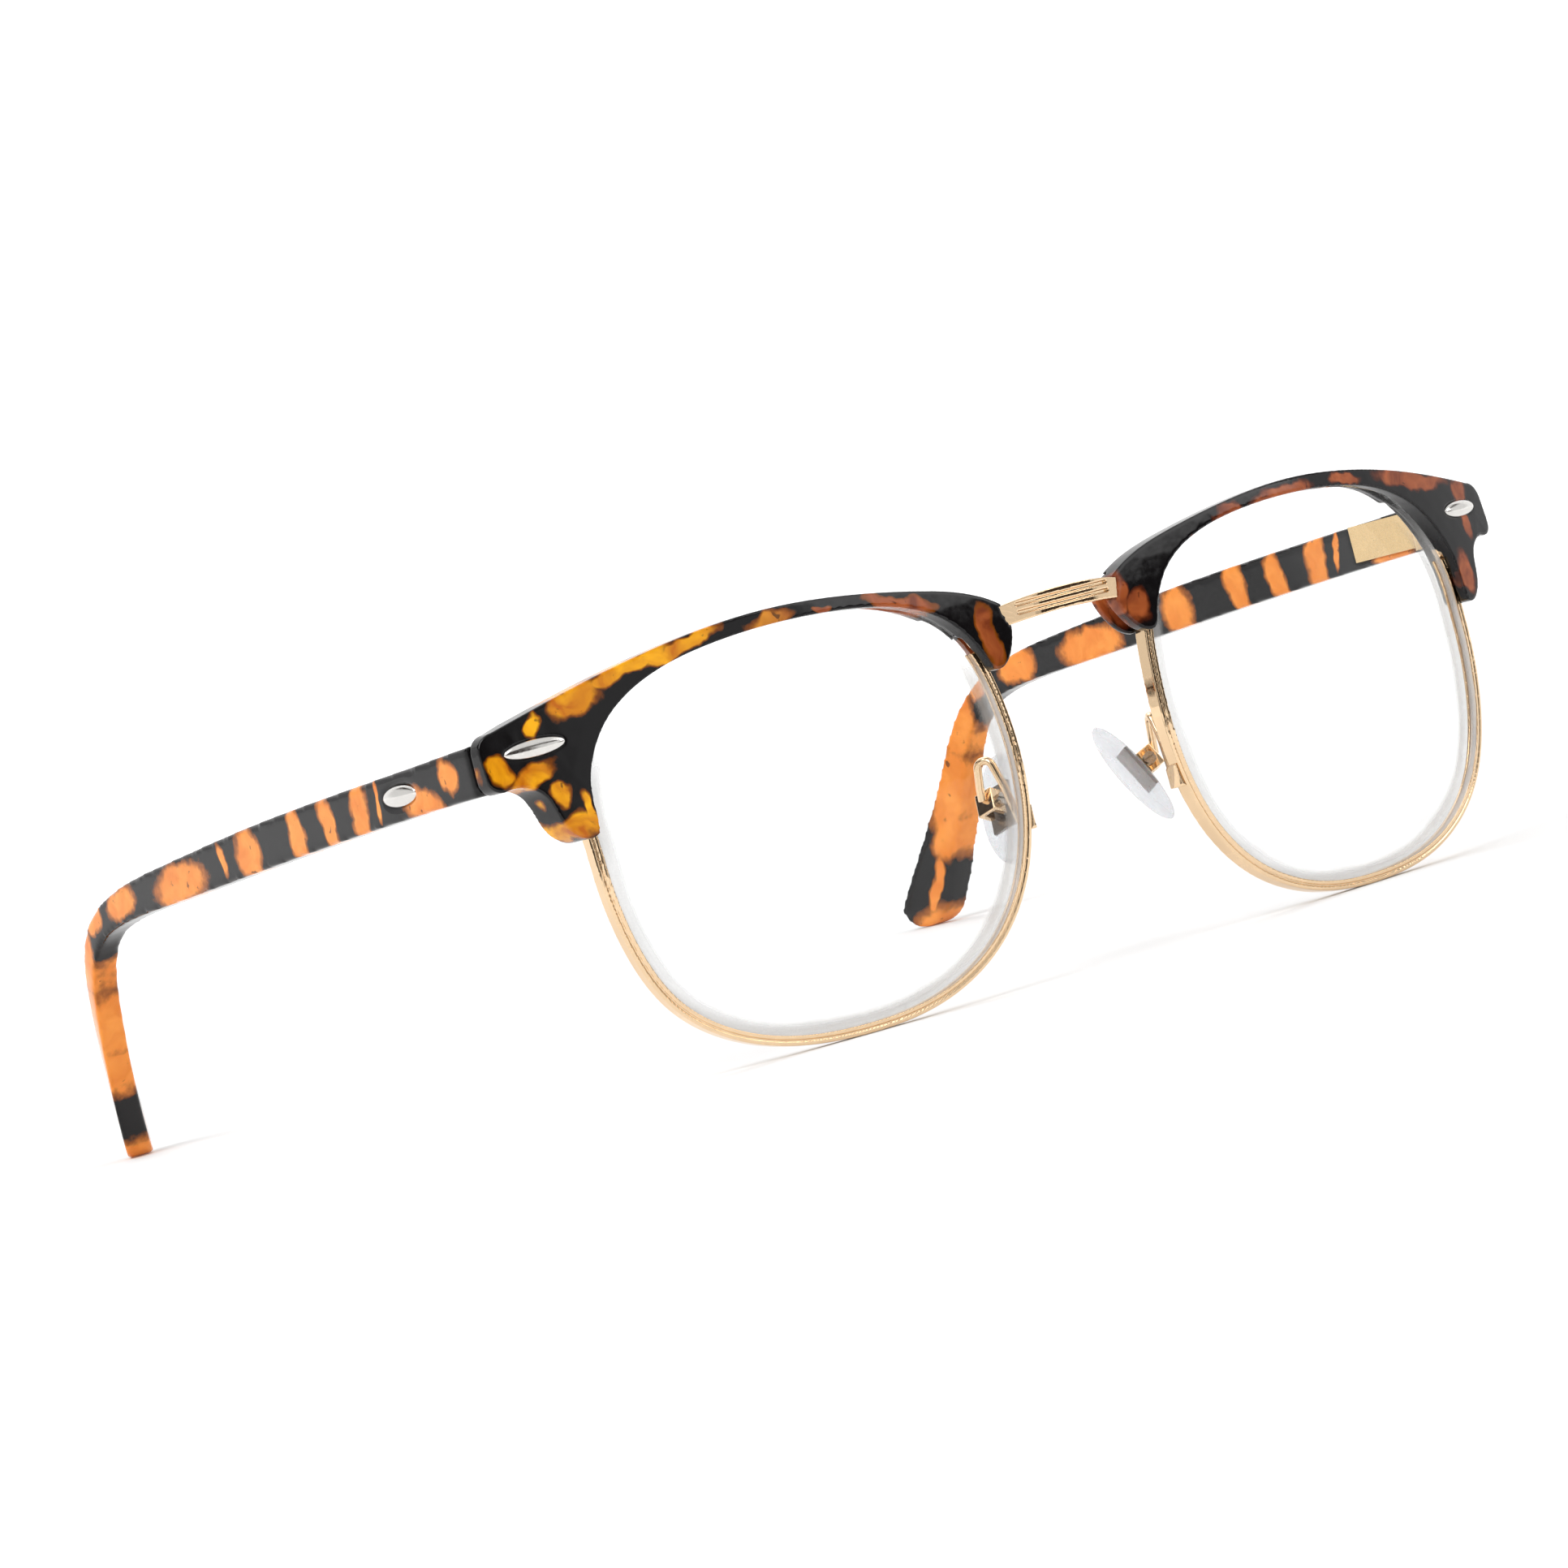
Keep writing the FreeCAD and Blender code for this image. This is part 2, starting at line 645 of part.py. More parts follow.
def flat_sketch(body, name, height=None):
    """A sketch on the body's XY plane, raised by an expression if one is given."""
    sketch = body.newObject("Sketcher::SketchObject", name)
    sketch.AttachmentSupport = [(origin_plane(body, "XY_Plane"), "")]
    sketch.MapMode = "FlatFace"
    if height:
        bind(sketch, **{"AttachmentOffset.Base.z": height})
    return sketch


def add_circle(sketch, radius):
    sketch.addGeometry(Part.Circle(Vector(), UP, 1.0), False)
    sketch.addConstraint(Sketcher.Constraint("Coincident", 0, 3, -1, 1))
    sketch.addConstraint(Sketcher.Constraint("Radius", 0, 1.0))
    sketch.renameConstraint(1, "radius")
    bind(sketch, **{"Constraints.radius": radius})


def add_slot(sketch, half_length, half_width):
    """A rectangle about the origin."""
    corners = [Vector(-1, -1, 0), Vector(1, -1, 0), Vector(1, 1, 0), Vector(-1, 1, 0)]
    for first in range(4):
        sketch.addGeometry(Part.LineSegment(corners[first], corners[(first + 1) % 4]), False)
    for first in range(4):
        sketch.addConstraint(Sketcher.Constraint("Coincident", first, 2, (first + 1) % 4, 1))
    for line in (0, 2):
        sketch.addConstraint(Sketcher.Constraint("Horizontal", line))
    for line in (1, 3):
        sketch.addConstraint(Sketcher.Constraint("Vertical", line))
    sketch.addConstraint(Sketcher.Constraint("Symmetric", 0, 1, 1, 2, -1, 1))
    sketch.addConstraint(Sketcher.Constraint("DistanceX", 0, 1, 0, 2, 2.0))
    sketch.addConstraint(Sketcher.Constraint("DistanceY", 1, 1, 1, 2, 2.0))
    sketch.renameConstraint(9, "length")
    sketch.renameConstraint(10, "width")
    bind(sketch, **{"Constraints.length": half_length, "Constraints.width": half_width})


def add_pad(body, sketch, name, length, downwards):
    pad = body.newObject("PartDesign::Pad", name)
    pad.Profile = sketch
    pad.Reversed = downwards
    bind(pad, Length=length)
    return pad


def make_screw(label, kind, shank_radius, place):
    """A slotted screw: its head above its own XY plane, its shank below."""
    body = document.addObject("PartDesign::Body", label + "_body")
    head_sketch = flat_sketch(body, label + "_head_outline")
    add_circle(head_sketch, f"{kind}_head_radius")
    add_pad(body, head_sketch, label + "_head", f"{kind}_head_height", False)
    shank_sketch = flat_sketch(body, label + "_shank_outline")
    add_circle(shank_sketch, shank_radius)
    add_pad(body, shank_sketch, label + "_shank", f"{kind}_shank_length", True)
    document.recompute()
    before = body.Shape.Volume
    slot_sketch = flat_sketch(body, label + "_slot_outline", f"{kind}_head_height")
    add_slot(slot_sketch, f"{kind}_head_radius * 2.2", "slot_width")
    slot = body.newObject("PartDesign::Pocket", label + "_slot")
    slot.Profile = slot_sketch
    bind(slot, Length="slot_depth")
    document.recompute()
    if body.Shape.Volume >= before:
        raise RuntimeError(label + ": the driver slot removes nothing")
    body.Placement = place
    return keep(label, body)


# ---------------------------------------------------------------- primitives

def add_box(name, corner, **sides):
    """A box with bound sides; corner gives its low corner as expressions."""
    piece = document.addObject("Part::Box", name)
    bind(piece, **sides)
    for axis, text in zip("xyz", corner):
        bind(piece, **{f"Placement.Base.{axis}": text})
    return piece


def add_cylinder(name, radius, height, start, axis=UP):
    """A cylinder from start along an axis, with bound radius and height."""
    piece = document.addObject("Part::Cylinder", name)
    bind(piece, Radius=radius, Height=height)
    piece.Placement = Placement(Vector(), Rotation(UP, axis))
    for letter, text in zip("xyz", start):
        bind(piece, **{f"Placement.Base.{letter}": text})
    return piece


def fused(name, parts):
    piece = document.addObject("Part::MultiFuse", name)
    piece.Shapes = parts
    return piece


def cut(name, base, tool):
    piece = document.addObject("Part::Cut", name)
    piece.Base = base
    piece.Tool = tool
    return piece


def make_rivet(label, long_half, high_half, place):
    """An oval domed head, half sunk, on a round stem."""
    dome = document.addObject("Part::Ellipsoid", label + "_dome")
    bind(dome, Radius1="rivet_dome", Radius2=long_half, Radius3=high_half)
    start = ("0 mm", "0 mm", "- rivet_stem_length * 1 mm")
    stem = add_cylinder(label + "_stem", "rivet_stem_radius", "rivet_stem_length", start)
    rivet = fused(label + "_whole", [dome, stem])
    rivet.Placement = place
    return keep(label, rivet)


# ---------------------------------------------------------------- hinge

def hinge_place(sign):
    """The hinge frame; turned half round about Y for the right side."""
    centre = Vector(sign * size["hinge_x"], size["hinge_y"], size["hinge_z"])
    turn = Rotation() if sign > 0 else Rotation(BACK, 180)
    return Placement(centre, turn)


def knuckle(name, low, height):
    return add_cylinder(name, "knuckle_radius", height, ("0 mm", "0 mm", low))


def make_front_leaf(side, sign):
    """Plate in the end-piece, two necks and the outer knuckles."""
    label = side + "_front_hinge_leaf"
    plate = add_box(
        label + "_plate",
        ("- front_leaf_start * 1 mm", "( joint_place - hinge_y - front_leaf_depth ) * 1 mm", "- leaf_height / 2 * 1 mm"),
        Length="front_leaf_width", Width="front_leaf_depth", Height="leaf_height")
    parts = [plate]
    outer = "( knuckle_stack - knuckle_middle ) / 2 - knuckle_gap"
    starts = {
        "upper": "( knuckle_middle / 2 + knuckle_gap ) * 1 mm",
        "lower": "- knuckle_stack / 2 * 1 mm",
    }
    for name, low in starts.items():
        parts.append(knuckle(f"{label}_{name}", low, outer))
        neck_corner = ("- neck_width / 2 * 1 mm", "( joint_place - hinge_y - neck_overlap ) * 1 mm", low)
        parts.append(add_box(
            f"{label}_{name}_neck", neck_corner,
            Length="neck_width", Width="hinge_y - joint_place + neck_overlap", Height=outer))
    bore = add_cylinder(label + "_bore", "pin_radius + play", "knuckle_stack * 2",
                        ("0 mm", "0 mm", "- knuckle_stack * 1 mm"))
    leaf = cut(label + "_whole", fused(label + "_blank", parts), bore)
    leaf.Placement = hinge_place(sign)
    return keep(label, leaf)


def make_temple_leaf(side, sign):
    """Plate in the temple's inner face, arm and the middle knuckle."""
    label = side + "_temple_hinge_leaf"
    inner = "( temple_inner - hinge_x ) * 1 mm"
    plate = add_box(
        label + "_plate", (inner, "temple_leaf_start * 1 mm", "- leaf_height / 2 * 1 mm"),
        Length="temple_leaf_depth", Width="temple_leaf_length", Height="leaf_height")
    arm = add_box(
        label + "_arm", ("0 mm", "- neck_overlap * 1 mm", "- knuckle_middle / 2 * 1 mm"),
        Length="temple_inner - hinge_x + temple_leaf_depth", Width="temple_leaf_start + neck_overlap * 2",
        Height="knuckle_middle")
    middle = knuckle(label + "_knuckle", "- knuckle_middle / 2 * 1 mm", "knuckle_middle")
    bore = add_cylinder(label + "_bore", "pin_bore", "knuckle_stack * 2",
                        ("0 mm", "0 mm", "- knuckle_stack * 1 mm"))
    leaf = cut(label + "_whole", fused(label + "_blank", [plate, arm, middle]), bore)
    leaf.Placement = hinge_place(sign)
    return keep(label, leaf)


def hinge_screw_place(sign):
    top = size["hinge_z"] + size["knuckle_stack"] / 2
    return Placement(Vector(sign * size["hinge_x"], size["hinge_y"], top), Rotation())


# ---------------------------------------------------------------- nose pads

def pad_axes(sign):
    """Towards the nose, across the pad, and up along it."""
    along = Vector(sign * PAD_UP.x, PAD_UP.y, PAD_UP.z)
    along.normalize()
    nose = Vector(sign * PAD_TO_NOSE.x, PAD_TO_NOSE.y, PAD_TO_NOSE.z)
    nose = nose - along * nose.dot(along)
    nose.normalize()
    return nose, along.cross(nose), along


def pad_place(sign):
    """The pad frame: X towards the nose, Y along the screw, Z up the pad."""
    nose, _screw, along = pad_axes(sign)
    centre = Vector(sign * PAD_CENTRE.x, PAD_CENTRE.y, PAD_CENTRE.z)
    return frame_at(centre, nose, along)


def make_pad_box(side, sign):
    """A small channel, open towards the nose, with a bore for its screw."""
    label = side + "_pad_box"
    back = "- ( pad_eye_radius + pad_eye_room + pad_box_wall ) * 1 mm"
    block = add_box(
        label + "_block", (back, "- pad_box_wide / 2 * 1 mm", "- pad_box_long / 2 * 1 mm"),
        Length="pad_box_deep", Width="pad_box_wide", Height="pad_box_long")
    slot = add_box(
        label + "_slot", ("- ( pad_eye_radius + pad_eye_room ) * 1 mm", "- pad_slot_wide / 2 * 1 mm", "- pad_box_long * 1 mm"),
        Length="pad_box_deep", Width="pad_slot_wide", Height="pad_box_long * 2")
    bore = add_cylinder(label + "_bore", "pad_shank_radius + play", "pad_box_wide * 2",
                        ("0 mm", "- pad_box_wide * 1 mm", "0 mm"), BACK)
    channel = cut(label + "_whole", cut(label + "_channel", block, slot), bore)
    channel.Placement = pad_place(sign)
    return keep(label, channel)


def insert_parts(label):
    """Plate, tab and eye of the pad insert, before the eye is bored."""
    plate_start = "( pad_reach - pad_plate_depth ) * 1 mm"
    plate = add_box(
        label + "_plate", (plate_start, "- pad_plate_wide / 2 * 1 mm", "- pad_plate_long / 2 * 1 mm"),
        Length="pad_plate_thick", Width="pad_plate_wide", Height="pad_plate_long")
    tab = add_box(
        label + "_tab", ("0 mm", "- pad_tab_thick / 2 * 1 mm", "- pad_tab_long / 2 * 1 mm"),
        Length="pad_reach - pad_plate_depth + pad_plate_thick / 4",
        Width="pad_tab_thick", Height="pad_tab_long")
    eye = add_cylinder(label + "_eye", "pad_eye_radius", "pad_tab_thick",
                       ("0 mm", "- pad_tab_thick / 2 * 1 mm", "0 mm"), BACK)
    return [plate, tab, eye]


def make_pad_insert(side, sign):
    label = side + "_pad_insert"
    bore = add_cylinder(label + "_bore", "pad_eye_bore", "pad_tab_thick * 2",
                        ("0 mm", "- pad_tab_thick * 1 mm", "0 mm"), BACK)
    insert = cut(label + "_whole", fused(label + "_blank", insert_parts(label)), bore)
    insert.Placement = pad_place(sign)
    return keep(label, insert)


def make_nose_pad(side, sign):
    """A soft oval pad, hollow where the insert sits."""
    label = side + "_nose_pad"
    oval = document.addObject("Part::Ellipsoid", label + "_oval")
    bind(oval, Radius1="pad_long", Radius2="pad_thick", Radius3="pad_wide")
    bind(oval, **{"Placement.Base.x": "pad_reach * 1 mm"})
    hollow = fused(label + "_hollow", insert_parts(label))
    pad = cut(label + "_whole", oval, hollow)
    pad.Placement = pad_place(sign)
    return keep(label, pad)


def pad_screw_place(sign):
    """The head at the front of the pad box, the shank pointing back."""
    _nose, screw, _along = pad_axes(sign)
    forward = screw if screw.y < 0 else screw * -1
    centre = Vector(sign * PAD_CENTRE.x, PAD_CENTRE.y, PAD_CENTRE.z)
    seat = centre + forward * (size["pad_box_wide"] / 2 + size["play"])
    return Placement(seat, Rotation(UP, forward))


def bent_wire(points, radius):
    """Straight runs joined by tangent arcs."""
    corners = [Vector(*point) for point in points]
    edges = []
    start = corners[0]
    for before, corner, after in zip(corners, corners[1:], corners[2:]):
        back = (before - corner).normalize()
        ahead = (after - corner).normalize()
        half = back.getAngle(ahead) / 2
        room = BEND_SHARE * min((before - corner).Length, (after - corner).Length)
        reach = min(radius / math.tan(half), room)
        bend = reach * math.tan(half)
        first = corner + back * reach
        last = corner + ahead * reach
        middle_way = (back + ahead).normalize()
        middle = corner + middle_way * (bend / math.sin(half) - bend)
        edges.append(Part.makeLine(start, first))
        edges.append(Part.Arc(first, middle, last).toShape())
        start = last
    edges.append(Part.makeLine(start, corners[-1]))
    return Part.Wire(edges)


def make_pad_arm(pad_box):
    """The bent wire from the rim to the pad box, with its foot, left side."""
    path = bent_wire(PAD_WIRE, size["wire_bend"])
    start = Vector(*PAD_WIRE[0])
    direction = Vector(*PAD_WIRE[1]) - start
    circle = Part.Wire([Part.makeCircle(size["wire_radius"], start, direction)])
    wire = path.makePipeShell([circle], True, False)
    foot = Part.makeBox(PAD_FOOT_SIZE.x, PAD_FOOT_SIZE.y, PAD_FOOT_SIZE.z, PAD_FOOT_LOW)
    foot = one_solid(foot.cut(in_front(lens_prism(size["play"]))))
    return wire.fuse(foot).cut(pad_box).cut(in_front(lens_pocket()))


# ---------------------------------------------------------------- assembly

def make_fasteners():
    for side, sign in SIDES:
        make_screw(f"{side}_hinge_screw", "hinge", "pin_radius", hinge_screw_place(sign))
        make_screw(f"{side}_pad_screw", "pad", "pad_shank_radius", pad_screw_place(sign))
        for name, (across, up) in (("nasal", NASAL_SCREW), ("outer", OUTER_SCREW)):
            seat = lens_place.multVec(Vector(across, SCREW_SEAT, up))
            backwards = lens_place.Rotation.multVec(BACK)
            if sign < 0:
                seat, backwards = flipped(seat), flipped(backwards)
            place = Placement(seat, Rotation(UP, backwards))
            make_screw(f"{side}_{name}_brow_screw", "brow", "brow_shank_radius", place)


def make_rivets():
    for side, sign in SIDES:
        make_rivet(f"{side}_front_rivet", "front_rivet_long", "front_rivet_high", front_rivet_place(sign))
        make_rivet(f"{side}_temple_rivet", "temple_rivet_long", "temple_rivet_high", temple_rivet_place(sign))


def make_hinges_and_pads():
    for side, sign in SIDES:
        make_front_leaf(side, sign)
        make_temple_leaf(side, sign)
        make_pad_box(side, sign)
        make_pad_insert(side, sign)
        make_nose_pad(side, sign)
    document.recompute()


def placed_shape(label):
    return pieces[label].Shape.copy()


def lowest(shape, turn):
    turned = shape.copy()
    turned.Placement = Placement(Vector(), turn).multiply(turned.Placement)
    return turned.optimalBoundingBox(False, False).ZMin


def standing_turn(rim, temple):
    """The tilt about X that brings rim and temple tip to the same height."""
    low, high = 0.0, 6.0
    for _ in range(20):
        middle = (low + high) / 2
        turn = Rotation(ACROSS, -middle)
        if lowest(rim, turn) < lowest(temple, turn):
            low = middle
        else:
            high = middle
    return Rotation(ACROSS, -(low + high) / 2)


def stand_up(turn):
    """Tilt every piece and put the origin below the middle of the box."""
    tilt = Placement(Vector(), turn)
    box = FreeCAD.BoundBox()
    for piece in pieces.values():
        piece.Placement = tilt.multiply(piece.Placement)
    document.recompute()
    for piece in pieces.values():
        box.add(piece.Shape.optimalBoundingBox(False, False))
    shift = Placement(Vector(-box.Center.x, -box.Center.y, -box.ZMin), Rotation())
    for piece in pieces.values():
        piece.Placement = shift.multiply(piece.Placement)
    document.recompute()
    return shift.multiply(tilt)


def check_document():
    for thing in document.Objects:
        if "Invalid" in thing.State or "Error" in thing.State:
            raise RuntimeError("failed object: " + thing.Label)
    for label, piece in pieces.items():
        if piece.Shape.isNull() or not piece.Shape.isValid():
            raise RuntimeError("bad shape: " + label)
        if len(piece.Shape.Solids) != 1:
            raise RuntimeError(f"{label} has {len(piece.Shape.Solids)} solids")


def write_parts():
    os.makedirs("parts", exist_ok=True)
    for label, piece in pieces.items():
        piece.Shape.exportStep(f"parts/{label}.step")


def main():
    make_fasteners()
    make_rivets()
    make_hinges_and_pads()
    rim = keep_pair("rim", in_front(make_rim()))
    keep_pair("lens", in_front(make_lens()))
    keep_pair("nasal_lug", in_front(make_lug(NASAL_SCREW)))
    keep_pair("outer_lug", in_front(make_lug(OUTER_SCREW)))
    bridge = make_bridge()
    keep_pair("brow", make_brow(placed_shape("left_front_hinge_leaf"), bridge.Shape.copy()))
    temple = keep_pair("temple", make_temple(placed_shape("left_temple_hinge_leaf")))
    keep_pair("pad_arm", make_pad_arm(placed_shape("left_pad_box")))
    document.recompute()
    standing = stand_up(standing_turn(rim, temple))
    check_document()
    write_parts()
    for label, piece in pieces.items():
        print(f"{label}: {piece.Shape.Volume:.2f} mm3")
    print("standing placement:", standing)
    for side, sign in SIDES:
        hinge = standing.multVec(hinge_place(sign).Base)
        pad = standing.multVec(pad_place(sign).Base)
        print(side, "hinge at", hinge, "pad at", pad)
        print(side, "pad axis", standing.Rotation.multVec(pad_axes(sign)[1]))
    print("hinge axis", standing.Rotation.multVec(UP))


main()
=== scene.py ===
"""Half rim eyeglasses on a pale seamless backdrop. Metres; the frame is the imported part's own."""
import json
import math

import bmesh
import bpy
from mathutils import Euler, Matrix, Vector
from mathutils.kdtree import KDTree

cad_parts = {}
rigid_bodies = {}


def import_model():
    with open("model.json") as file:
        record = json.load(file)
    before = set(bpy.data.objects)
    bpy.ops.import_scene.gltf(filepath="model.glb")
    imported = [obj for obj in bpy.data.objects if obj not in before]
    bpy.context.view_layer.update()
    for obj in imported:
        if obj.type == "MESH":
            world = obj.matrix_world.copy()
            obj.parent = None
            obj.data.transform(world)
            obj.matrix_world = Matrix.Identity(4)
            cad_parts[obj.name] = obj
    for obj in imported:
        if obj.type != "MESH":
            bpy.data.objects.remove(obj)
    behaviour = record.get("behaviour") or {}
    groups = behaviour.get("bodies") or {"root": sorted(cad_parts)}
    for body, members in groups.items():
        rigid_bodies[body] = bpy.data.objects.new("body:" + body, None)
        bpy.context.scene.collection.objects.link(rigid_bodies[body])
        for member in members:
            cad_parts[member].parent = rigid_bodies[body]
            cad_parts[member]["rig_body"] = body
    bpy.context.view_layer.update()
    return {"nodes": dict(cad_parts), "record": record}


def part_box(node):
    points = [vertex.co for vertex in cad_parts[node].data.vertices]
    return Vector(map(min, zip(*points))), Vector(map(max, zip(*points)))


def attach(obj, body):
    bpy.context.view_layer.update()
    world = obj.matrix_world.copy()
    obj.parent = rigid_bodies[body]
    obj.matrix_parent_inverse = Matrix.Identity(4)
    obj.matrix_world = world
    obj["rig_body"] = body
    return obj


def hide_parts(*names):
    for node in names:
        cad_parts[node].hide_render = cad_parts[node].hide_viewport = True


MM = 0.001

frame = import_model()
scene = bpy.context.scene
SIDES = ("right", "left")


# ---------------------------------------------------------------- node helpers

class Nodes:
    """Builds one node tree: each call adds a node and gives back its output."""

    def __init__(self, tree):
        self.tree = tree
        tree.nodes.clear()

    def add(self, kind, **settings):
        node = self.tree.nodes.new(kind)
        for name, value in settings.items():
            setattr(node, name, value)
        return node

    def feed(self, socket, value):
        """Link an output to the socket, or set its plain value."""
        if isinstance(value, bpy.types.NodeSocket):
            self.tree.links.new(value, socket)
        else:
            socket.default_value = value

    def math(self, operation, first, second=0.0, clamp=False):
        node = self.add("ShaderNodeMath", operation=operation, use_clamp=clamp)
        self.feed(node.inputs[0], first)
        self.feed(node.inputs[1], second)
        return node.outputs[0]

    def vector(self, operation, first, second=(0, 0, 0)):
        node = self.add("ShaderNodeVectorMath", operation=operation)
        self.feed(node.inputs[0], first)
        self.feed(node.inputs[1], second)
        return node.outputs["Value" if operation == "LENGTH" else "Vector"]

    def scaled(self, vector, factor):
        node = self.add("ShaderNodeVectorMath", operation="SCALE")
        self.feed(node.inputs[0], vector)
        node.inputs["Scale"].default_value = factor
        return node.outputs["Vector"]

    def place(self):
        """The point's place in the row frame at rest, in millimetres."""
        coordinates = self.add("ShaderNodeTexCoord").outputs["Object"]
        return self.scaled(coordinates, 1 / MM)

    def noise(self, vector, scale, detail=2.0, distortion=0.0):
        node = self.add("ShaderNodeTexNoise")
        self.feed(node.inputs["Vector"], vector)
        node.inputs["Scale"].default_value = scale
        node.inputs["Detail"].default_value = detail
        node.inputs["Distortion"].default_value = distortion
        return node.outputs

    def spread(self, value, low, high, to_low=0.0, to_high=1.0, smooth=False):
        """The value mapped from low..high to to_low..to_high, clamped."""
        node = self.add("ShaderNodeMapRange", interpolation_type="SMOOTHSTEP" if smooth else "LINEAR")
        for name, setting in (("Value", value), ("From Min", low), ("From Max", high),
                              ("To Min", to_low), ("To Max", to_high)):
            self.feed(node.inputs[name], setting)
        return node.outputs["Result"]

    def mix(self, factor, first, second):
        node = self.add("ShaderNodeMix", data_type="RGBA")
        colours = [socket for socket in node.inputs if socket.type == "RGBA"]
        self.feed(node.inputs["Factor"], factor)
        for socket, value in zip(colours, (first, second)):
            self.feed(socket, value if isinstance(value, bpy.types.NodeSocket) else (*value, 1.0))
        return next(socket for socket in node.outputs if socket.type == "RGBA")

    def bump(self, height, distance, strength=1.0):
        node = self.add("ShaderNodeBump")
        self.feed(node.inputs["Height"], height)
        node.inputs["Distance"].default_value = distance
        node.inputs["Strength"].default_value = strength
        return node.outputs["Normal"]

    def principled(self, **inputs):
        node = self.add("ShaderNodeBsdfPrincipled")
        for name, value in inputs.items():
            socket = node.inputs[name.replace("_", " ")]
            if socket.type == "RGBA" and not isinstance(value, bpy.types.NodeSocket):
                value = (*value, 1.0)
            self.feed(socket, value)
        return node.outputs["BSDF"]

    def mix_shader(self, factor, first, second):
        node = self.add("ShaderNodeMixShader")
        self.feed(node.inputs[0], factor)
        self.feed(node.inputs[1], first)
        self.feed(node.inputs[2], second)
        return node.outputs[0]

    def finish(self, shader):
        output = self.add("ShaderNodeOutputMaterial")
        self.feed(output.inputs["Surface"], shader)


def new_material(name):
    material = bpy.data.materials.new(name)
    material.use_nodes = True
    return material, Nodes(material.node_tree)


# ---------------------------------------------------------------- tortoise plastic

BLACK = (0.004, 0.0035, 0.004)
TEMPLE_ORANGE = ((0.72, 0.20, 0.022), (0.88, 0.31, 0.05))
YELLOW_AMBER = ((0.46, 0.115, 0.003), (0.88, 0.42, 0.008))
RED_BROWN = ((0.15, 0.028, 0.008), (0.42, 0.105, 0.028))

# Amber patches of the brow bars, millimetres: across, below the bar's top,
# half length, half height, and how steeply the patch rises with across.
RIGHT_BROW_PATCHES = (
    (-58.4, 4.2, 3.2, 1.7, 18), (-52.0, 2.4, 5.6, 0.9, 15), (-46.0, 1.6, 5.0, 0.8, 12),
    (-63.2, 5.6, 0.6, 1.4, -20), (-64.6, 10.8, 2.8, 1.2, 25), (-67.2, 9.6, 1.2, 1.6, 0),
    (-62.0, 13.2, 1.2, 1.5, 0), (-61.6, 17.0, 2.2, 1.5, 10), (-59.7, 15.8, 0.5, 2.4, 0),
    (-35.8, 1.2, 2.8, 0.8, 4), (-29.6, 1.2, 1.0, 0.4, 0), (-20.4, 2.9, 4.4, 1.0, -18),
    (-10.4, 8.2, 1.3, 3.8, 0), (-70.0, 7.0, 0.8, 1.2, 0),
)
LEFT_BROW_PATCHES = (
    (25.2, 2.0, 2.4, 0.9, 12), (34.0, 1.5, 5.2, 1.0, 0), (44.3, 1.6, 2.6, 0.7, -6),
    (56.2, 3.5, 7.0, 1.1, -13), (64.6, 6.0, 1.7, 1.4, 0), (63.8, 9.8, 0.9, 1.7, 0),
    (60.9, 15.0, 1.3, 2.8, 10), (9.8, 9.4, 1.5, 2.0, 0), (7.9, 7.6, 1.1, 2.8, 0),
    (19.0, 4.2, 1.2, 0.6, 25),
)

# Amber patches of the temples, millimetres: behind the joint, above the
# temple's middle line there, half length, half height, rise.
TEMPLE_PATCHES = (
    (11.2, -1.8, 4.4, 2.4, 20), (5.0, 0.6, 2.0, 2.0, -30), (24.6, 0.2, 1.9, 4.2, 14),
    (20.6, 0.6, 0.45, 2.4, 12), (32.0, -0.4, 1.7, 4.2, -8), (39.4, 0.0, 1.9, 4.2, -12),
    (51.2, 0.2, 3.1, 3.0, 12), (57.6, 0.5, 0.8, 2.2, -10), (68.8, -0.4, 6.6, 2.5, -5),
    (84.2, 0.0, 4.0, 2.0, -8), (92.4, -0.6, 2.4, 1.6, -35), (97.4, -4.6, 2.7, 5.2, 22),
    (100.6, -12.5, 2.9, 6.0, 26), (102.2, -17.6, 2.2, 3.6, 30), (105.3, -23.4, 0.7, 4.4, 20),
    (102.6, -24.0, 0.5, 3.0, 26), (107.2, -30.6, 3.4, 5.4, 28),
)
# The temple's middle line starts this far below its top and falls this much per millimetre.
TEMPLE_MIDDLE = 2.7
TEMPLE_SLOPE = -0.077

# Patches run right through their piece, millimetres.
PATCH_DEPTH = 400

# How far the patch outlines wander, millimetres, and their fine fringe, in patch radii.
PATCH_WANDER = 2.6
PATCH_FRINGE = 0.22

# Where amber begins and is full, and where its dark border ends, in patch radii.
AMBER_BEGINS = 1.15
AMBER_FULL = 0.95
BORDER_BEGINS = 1.0
BORDER_ENDS = 0.72
BORDER_SHADE = 0.38


def nearest_patch(nodes, point, patches):
    """Distance to the nearest patch, 1 on its edge. Each has a centre, radii and a turn."""
    nearest = None
    for centre, radii, turn in patches:
        mapping = nodes.add("ShaderNodeMapping", vector_type="TEXTURE")
        nodes.feed(mapping.inputs["Vector"], point)
        mapping.inputs["Location"].default_value = centre
        mapping.inputs["Rotation"].default_value = turn
        mapping.inputs["Scale"].default_value = radii
        distance = nodes.vector("LENGTH", mapping.outputs["Vector"])
        nearest = distance if nearest is None else nodes.math("MINIMUM", nearest, distance)
    return nearest


